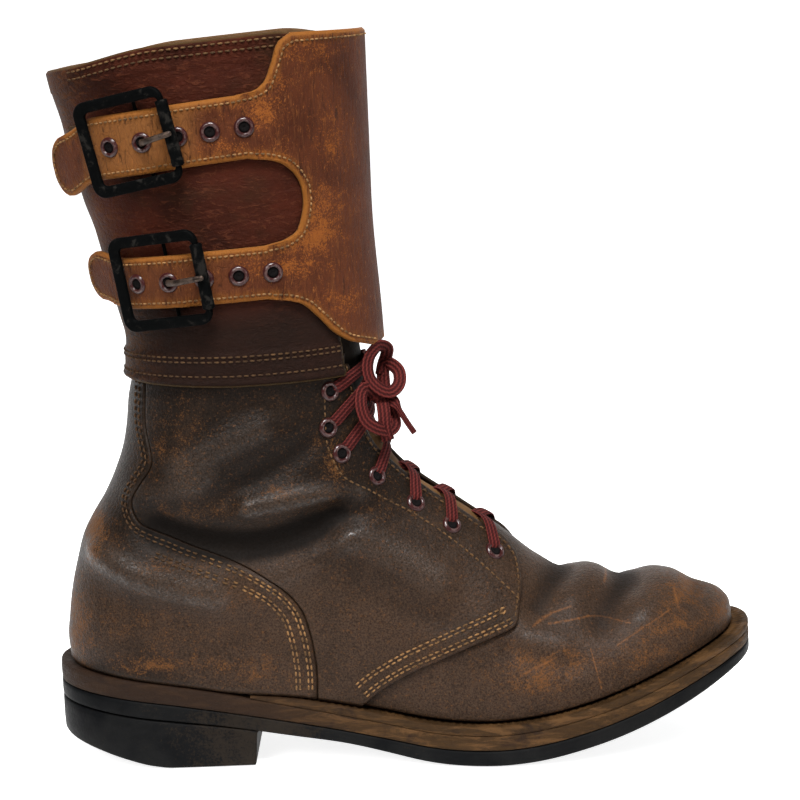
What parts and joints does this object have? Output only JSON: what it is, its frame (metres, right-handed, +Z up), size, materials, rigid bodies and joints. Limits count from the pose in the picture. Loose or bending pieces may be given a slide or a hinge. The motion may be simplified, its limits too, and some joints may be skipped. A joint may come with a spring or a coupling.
{
  "type": "buckle boot",
  "caption": "Right-foot lace-up work boot with a welted sole, black heel, and a leather cuff flap held on the outer side by two strap-and-roller buckles.",
  "frame": {"origin": "middle of the bounding box at floor level, under the sole", "axes": "+X toward the toe, +Y toward the inner side of the foot, +Z up; the buckles are on the -Y side"},
  "size_m": [0.3, 0.1112, 0.306],
  "materials": {
    "upper_leather": "dark brown waxed rough-out leather, worn",
    "cuff_leather": "dark red-brown smooth leather",
    "flap_leather": "mid brown cracked leather with tan raw edges",
    "lining_leather": "tan lining leather",
    "sole_leather": "tan-brown sole leather edge, stained",
    "black_rubber": "matt black rubber",
    "black_iron": "worn black paint on iron",
    "worn_steel": "dull worn steel",
    "eyelet_metal": "maroon paint worn to steel",
    "lace_cord": "flat braided maroon lace"
  },
  "bodies": {
    "root": {"upper": "upper_leather", "counter": "upper_leather", "quarter_lateral": "upper_leather", "quarter_medial": "upper_leather", "cuff": "cuff_leather", "chape_upper": "cuff_leather", "chape_lower": "cuff_leather", "cuff_flap": "flap_leather", "tongue": "lining_leather", "insole": "lining_leather", "welt": "sole_leather", "midsole": "sole_leather", "outsole": "black_rubber", "heel": "black_rubber", "buckle_frame_upper": "black_iron", "buckle_roller_upper": "black_iron", "buckle_prong_upper": "worn_steel", "strap_eyelet_upper_1": "eyelet_metal", "strap_eyelet_upper_2": "eyelet_metal", "strap_eyelet_upper_3": "eyelet_metal", "strap_eyelet_upper_4": "eyelet_metal", "strap_eyelet_upper_5": "eyelet_metal", "buckle_frame_lower": "black_iron", "buckle_roller_lower": "black_iron", "buckle_prong_lower": "worn_steel", "strap_eyelet_lower_1": "eyelet_metal", "strap_eyelet_lower_2": "eyelet_metal", "strap_eyelet_lower_3": "eyelet_metal", "strap_eyelet_lower_4": "eyelet_metal", "strap_eyelet_lower_5": "eyelet_metal", "lace_eyelet_lateral_1": "eyelet_metal", "lace_eyelet_lateral_2": "eyelet_metal", "lace_eyelet_lateral_3": "eyelet_metal", "lace_eyelet_lateral_4": "eyelet_metal", "lace_eyelet_lateral_5": "eyelet_metal", "lace_eyelet_lateral_6": "eyelet_metal", "lace_eyelet_lateral_7": "eyelet_metal", "lace_eyelet_medial_1": "eyelet_metal", "lace_eyelet_medial_2": "eyelet_metal", "lace_eyelet_medial_3": "eyelet_metal", "lace_eyelet_medial_4": "eyelet_metal", "lace_eyelet_medial_5": "eyelet_metal", "lace_eyelet_medial_6": "eyelet_metal", "lace_eyelet_medial_7": "eyelet_metal", "lace_crossings": "lace_cord", "lace_knot": "lace_cord", "lace_loop_upper": "lace_cord", "lace_loop_lower": "lace_cord", "lace_end_long": "lace_cord", "lace_end_short": "lace_cord"}
  },
  "joints": []
}
